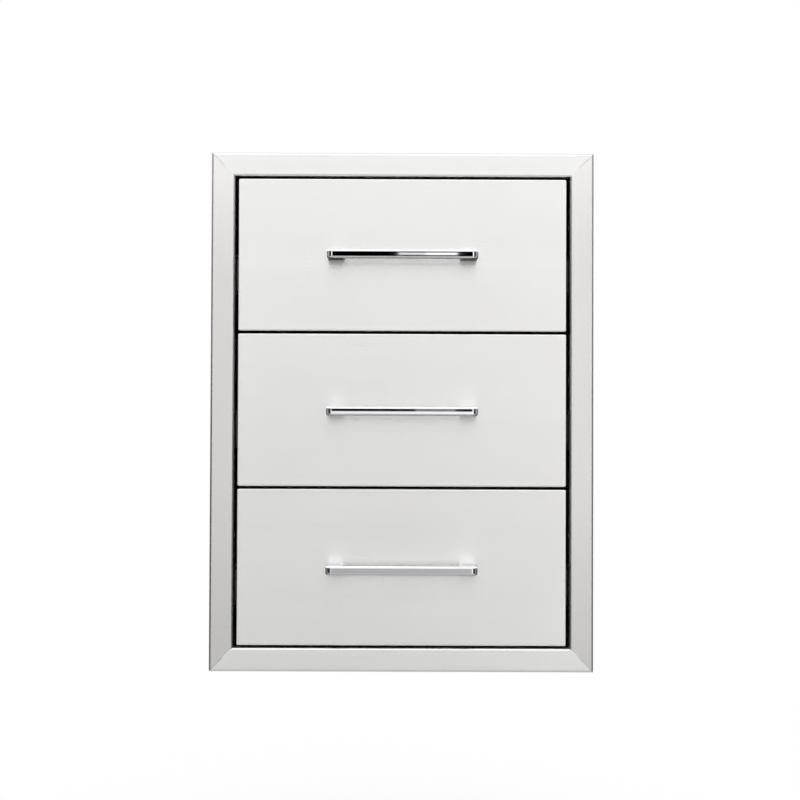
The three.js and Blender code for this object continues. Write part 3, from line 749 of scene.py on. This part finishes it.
# Floor, sides and hems in one sheet, and a hemmed back whose lower corners follow the bend:
# half width = wall - R + sqrt(R^2 - (R - height)^2).
def tubShape(low, high):
    half, hem, steps = tub["sheet"] / 2, tub["hem"], tub["steps"]
    wall, floor, top = high.x - hem - half, low.z + half, high.z - half
    hemEnd, middle, back = high.z - tub["hemDrop"], (low.z + high.z) / 2, high.y - hem - half
    hemTurn, turn = tub["hemBend"] + half, tub["bend"] + half
    left = [(-wall - hem, hemEnd), (-wall - hem, top), (-wall, top), (-wall, middle)]
    left = bentLine(left, hemTurn, steps)
    base = bentLine([(-wall, middle), (-wall, floor), (wall, floor), (wall, middle)], turn, steps)
    wrap = np.vstack([left[:-1], base[1:-1], (left * (-1, 1))[-2::-1]])
    sheet = alongDepth(sheetSection(wrap, tub["sheet"]), low.y, back + half)
    rise = turn * (1 - np.cos(np.linspace(0, np.pi / 2, steps + 1)))
    foot = np.stack([np.full(len(rise), back), floor + rise], axis=1)
    lip = bentLine([(back, middle), (back, top), (back + hem, top), (back + hem, hemEnd)], hemTurn, steps)
    ring, cap = sheetSection(np.vstack([foot, lip[1:]]), tub["sheet"])
    short = np.clip(turn - (ring[:, 1] - floor), 0, turn)
    reach = wall - turn + np.sqrt(turn**2 - short**2)
    loops = np.stack([np.stack([side * reach, ring[:, 0], ring[:, 1]], axis=1) for side in (-1, 1)])
    return joinShapes([sheet, loftLoops(loops, cap)])


def addTubs(materials):
    for name in drawerNames:
        body, node = f"{name}_drawer", f"{name}_drawer_tub"
        shape = tubShape(*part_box(node))
        addPiece(node + "_sheet", shape, materials["satinAlong"], body, [node])
    print("tubs made")


# Slides

slide = {
    "height": 0.045, "sheet": 0.0012, "bend": 0.0003, "ball": 0.0015, "play": 0.0003, "groove": 0.0005,
    "landing": 0.00005, "tip": 0.0004, "cageSheet": 0.0006, "cageGap": 0.0003, "cageMargin": 0.0008,
    "holeInset": 0.04, "screwHole": 0.0023, "accessHole": 0.005, "drillReach": 0.02, "holeSegments": 20,
    "drilledSharpAngle": 30,
    "ballsInRow": 9, "ballRows": 6, "ballSegments": 10, "ballPole": 0.02,
    "steps": 8, "cageSteps": 4, "rest": 0.0001,
}
grooveRadius = slide["ball"] + slide["play"] + slide["sheet"] / 2
grooveHalf = np.sqrt(2 * grooveRadius * slide["groove"] - slide["groove"] ** 2)
grooveAngle = np.arcsin(grooveHalf / grooveRadius)


# A groove rolled into a flange: x = ball + R sin a, and height = level + bulge R cos a.
def raceway(ball, level, bulge, travel):
    angle = travel * grooveAngle * np.linspace(-1, 1, slide["steps"] + 1)
    across, up = grooveRadius * np.sin(angle), bulge * grooveRadius * np.cos(angle)
    return np.stack([ball + across, level + up], axis=1)


# A rail's middle line: free edge, grooves, and the bend into the web, and then the mirror image.
def railLine(edge, level, web, grooves):
    radius = slide["bend"] + slide["sheet"] / 2
    turn = bentLine([grooves[-1], (web, level), (web, 0)], radius, slide["steps"], slide["rest"])
    upper = np.vstack([(edge, level), grooves, turn[1:-1]])
    return np.vstack([upper, upper[::-1] * (1, -1)])


# The sections of a slide, as distances in from the housing and levels above the middle.
def slideSections():
    sheet, half = slide["sheet"], slide["sheet"] / 2
    cageHalf, gap = slide["cageSheet"] / 2, slide["cageGap"]
    step = grooveRadius - slide["groove"]
    shoulder = slide["landing"] + sheet * np.tan(grooveAngle / 2)
    outerLevel = slide["height"] / 2 - sheet - slide["play"] - slide["ball"]
    middleLevel = outerLevel - step
    innerLevel = middleLevel - step
    outerWeb = sheet + gap + cageHalf
    middleWeb = outerWeb + cageHalf + gap + half
    innerWeb = middleWeb + half + gap + cageHalf
    outerBall = middleWeb + slide["bend"] + half + shoulder + grooveHalf
    innerBall = outerBall + 2 * grooveHalf + shoulder
    middleEdge = innerBall + grooveHalf + shoulder
    drawerWeb = middleEdge + slide["tip"] + half
    grooves = np.vstack([raceway(innerBall, innerLevel, 1, -1), raceway(outerBall, outerLevel, -1, -1)])
    rails = {
        "cabinet_rail": railLine(outerBall + grooveHalf + shoulder, outerLevel + step, half,
                                 raceway(outerBall, outerLevel, 1, -1)),
        "middle_rail": railLine(middleEdge, middleLevel, middleWeb, grooves),
        "drawer_rail": railLine(innerBall - grooveHalf - shoulder, innerLevel - step, drawerWeb,
                                raceway(innerBall, innerLevel, -1, 1)),
    }
    cages = {
        "outer_ball_cage": (outerWeb, outerBall, outerLevel),
        "inner_ball_cage": (innerWeb, innerBall, innerLevel),
    }
    return rails, cages, drawerWeb - half


screw = {
    "countersunk": {"radius": 0.0022, "height": 0.0011, "rise": 0.00005, "rows": 8, "seat": 0.00005},
    "pan": {"radius": 0.0036, "foot": 0.0007, "rise": 0.0012, "rows": 10},
    "rivet": {"radius": 0.0032, "foot": 0.0002, "rise": 0.0008, "rows": 6},
    "recess": {"width": 0.0008, "reach": 0.0016, "depth": 0.0007},
    "shallowRecess": {"width": 0.0008, "reach": 0.0016, "depth": 0.0005},
    "segments": 32, "rivetSegments": 20,
}


def countersunkScrew(seat, direction):
    size = screw["countersunk"]
    profile = np.vstack([(size["radius"] / 2, 0), domedTop(size, size["height"])])
    return turnedPart(profile, seat, direction, screw["segments"], screw["shallowRecess"])


def panScrew(seat, direction):
    size = screw["pan"]
    profile = np.vstack([(size["radius"], 0), domedTop(size, size["foot"])])
    return turnedPart(profile, seat, direction, screw["segments"], screw["recess"])


def rivet(seat, direction):
    size = screw["rivet"]
    profile = np.vstack([(size["radius"], 0), domedTop(size, size["foot"])])
    return turnedPart(profile, seat, direction, screw["rivetSegments"])


# A cage: a light channel, and apart from it the two rows of balls. A ball is a half circle turned round.
def cageShapes(low, high, web, ball, level, side, wall, centre):
    edge = ball + slide["ball"] + slide["cageMargin"]
    radius = slide["cageGap"] + slide["cageSheet"] / 2
    line = [(edge, level), (web, level), (web, -level), (edge, -level)]
    line = bentLine(line, radius, slide["cageSteps"], slide["rest"])
    sheet = alongDepth(sheetSection(line, slide["cageSheet"]), low.y, high.y, side, wall, centre)
    pitch = (high.y - low.y) / slide["ballsInRow"]
    turn = np.linspace(slide["ballPole"], np.pi - slide["ballPole"], slide["ballRows"] + 1)
    profile = slide["ball"] * np.stack([np.sin(turn), -np.cos(turn)], axis=1)
    balls = []
    for up in (level, -level):
        for index in range(slide["ballsInRow"]):
            seat = (side * (wall - ball), low.y + pitch * (index + 0.5), centre + up)
            balls.append(turnedPart(profile, seat, (1, 0, 0), slide["ballSegments"]))
    return sheet, joinShapes(balls)


# The rails and cages of one slide. Gives the places of its screws, the wall that it is fixed to, and its
# middle.
def addSlide(name, side, prefix, sections, materials):
    rails, cages = sections
    bodies = {
        "cabinet_rail": "housing", "middle_rail": f"{name}_middle_rails", "drawer_rail": f"{name}_drawer",
    }
    low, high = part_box(prefix + "cabinet_rail")
    wall, centre = max(abs(low.x), abs(high.x)), (low.z + high.z) / 2
    places = [low.y + slide["holeInset"], high.y - slide["holeInset"]]
    for part, line in rails.items():
        node = prefix + part
        low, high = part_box(node)
        shape = alongDepth(sheetSection(line, slide["sheet"]), low.y, high.y, side, wall, centre)
        rail = addPiece(node + "_channel", shape, materials["zincPlate"], bodies[part],
                        [node])
        radius = slide["accessHole"] if part == "middle_rail" else slide["screwHole"]
        holes = [((low.x + high.x) / 2, place, centre) for place in places]
        drillHoles(rail, holes, radius, slide["drillReach"])
    for part, (web, ball, level) in cages.items():
        node, body = prefix + part, f"{name}_{part}s"
        low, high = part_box(node)
        sheet, balls = cageShapes(low, high, web, ball, level, side, wall, centre)
        addPiece(node + "_channel", sheet, materials["cageSteel"], body, [node])
        addPiece(node + "_balls", balls, materials["ballSteel"], body)
    return places, wall, centre


def addSlides(materials):
    rails, cages, drawerFace = slideSections()
    steel = materials["screwSteel"]
    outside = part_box("housing_right_side")[1].x
    cabinetScrews, outerRivets = [], []
    for name in drawerNames:
        drawerScrews, tubRivets = [], []
        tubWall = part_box(f"{name}_drawer_tub")[1].x - tub["hem"] - tub["sheet"]
        for sideName, side in sideSigns.items():
            places, wall, centre = addSlide(name, side, f"{name}_{sideName}_", (rails, cages), materials)
            inward, outward = (-side, 0, 0), (side, 0, 0)
            for place in places:
                seat = (side * (wall - screw["countersunk"]["seat"]), place, centre)
                cabinetScrews.append(countersunkScrew(seat, inward))
                drawerScrews.append(panScrew((side * (wall - drawerFace), place, centre), outward))
                tubRivets.append(rivet((side * tubWall, place, centre), inward))
                outerRivets.append(rivet((side * outside, place, centre), outward))
        body = f"{name}_drawer"
        addPiece(f"{name}_drawer_rail_screws", joinShapes(drawerScrews), steel, body)
        addPiece(f"{name}_drawer_rivets", joinShapes(tubRivets), steel, body)
    addPiece("cabinet_rail_screws", joinShapes(cabinetScrews), steel, "housing")
    addPiece("housing_rivets", joinShapes(outerRivets), steel, "housing")
    print("slides made")


# Handle screws: a chamfered tip, a shank and a pan head with a cross recess.

handleScrew = {
    "shank": 0.002, "point": 0.0008, "radius": 0.004, "height": 0.0024, "rise": 0.0016, "rows": 10,
    "segments": 32, "recess": {"width": 0.0009, "reach": 0.0022, "depth": 0.0011},
}


def handleScrewShape(low, high):
    shank, point, height = handleScrew["shank"], handleScrew["point"], handleScrew["height"]
    length = high.y - low.y - height
    tip = [(shank - point, -length), (shank, point - length), (shank, 0), (handleScrew["radius"], 0)]
    profile = np.vstack([tip, domedTop(handleScrew, height - handleScrew["rise"])])
    seat = ((low.x + high.x) / 2, high.y - height, (low.z + high.z) / 2)
    return turnedPart(profile, seat, (0, 1, 0), handleScrew["segments"], handleScrew["recess"])


def addHandleScrews(materials):
    for name in drawerNames:
        for sideName in sideSigns:
            body, node = f"{name}_drawer", f"{name}_handle_screw_{sideName}"
            shape = handleScrewShape(*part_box(node))
            addPiece(node + "_pan_head", shape, materials["screwSteel"], body, [node])
    print("handle screws made")


# Housing: its back is a folded pan, and spot welds show where the flanges are joined to the sides.

housing = {"sheet": 0.0012, "bend": 0.0022, "corner": 0.0015}
weld = {
    "radius": 0.0024, "rim": 0.00006, "lift": 0.00002, "poleShare": 0.02, "rows": 6, "segments": 16,
    "inset": 0.0075, "pitch": 0.058, "frontMargin": 0.03, "cornerMargin": 0.04,
}


# A spot weld's mark: a low rim, height = lift + rim sin(pi r / radius), round a lower middle.
def weldMark(seat, direction):
    share = np.linspace(1, weld["poleShare"], weld["rows"] + 1)
    height = weld["rim"] * np.sin(np.pi * share) + weld["lift"]
    return turnedPart(np.stack([weld["radius"] * share, height], axis=1), seat, direction, weld["segments"])


def addHousing(materials):
    node, body = "housing_back", "housing"
    shape = foldedPan(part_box(node), housing["sheet"], housing["bend"], housing["corner"], facing=-1)
    addPiece(node + "_pan", shape, materials["satinAcross"], body, [node])
    low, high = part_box("housing_right_side")
    inset, margin, corner = weld["inset"], weld["frontMargin"], weld["cornerMargin"]
    depths = np.arange(low.y + margin, high.y - margin, weld["pitch"])
    levels = np.arange(low.z + corner, high.z - corner, weld["pitch"])
    spots = [(depth, level) for depth in depths for level in (low.z + inset, high.z - inset)]
    spots += [(high.y - inset, level) for level in levels]
    marks = []
    for side in sideSigns.values():
        marks += [weldMark((side * high.x, depth, level), (side, 0, 0)) for depth, level in spots]
    addPiece("housing_spot_welds", joinShapes(marks), materials["weldMark"], body)
    print("housing made")


# Carried-over solids

plainFinishes = {
    "housing_left_side": "satinAlong", "housing_right_side": "satinAlong",
    "housing_top": "satinAlong", "housing_bottom": "satinAlong",
}


def finishSolids(materials):
    for name, finish in plainFinishes.items():
        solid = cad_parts[name]
        solid.data.materials.clear()
        solid.data.materials.append(materials[finish])


addCamera()
addWorld()
addLamps()
addFloor()
materials = buildMaterials()
print("stage and materials made")
finishSolids(materials)
addFrame(materials)
addFronts(materials)
addPulls(materials)
addTubs(materials)
addSlides(materials)
addHandleScrews(materials)
addHousing(materials)
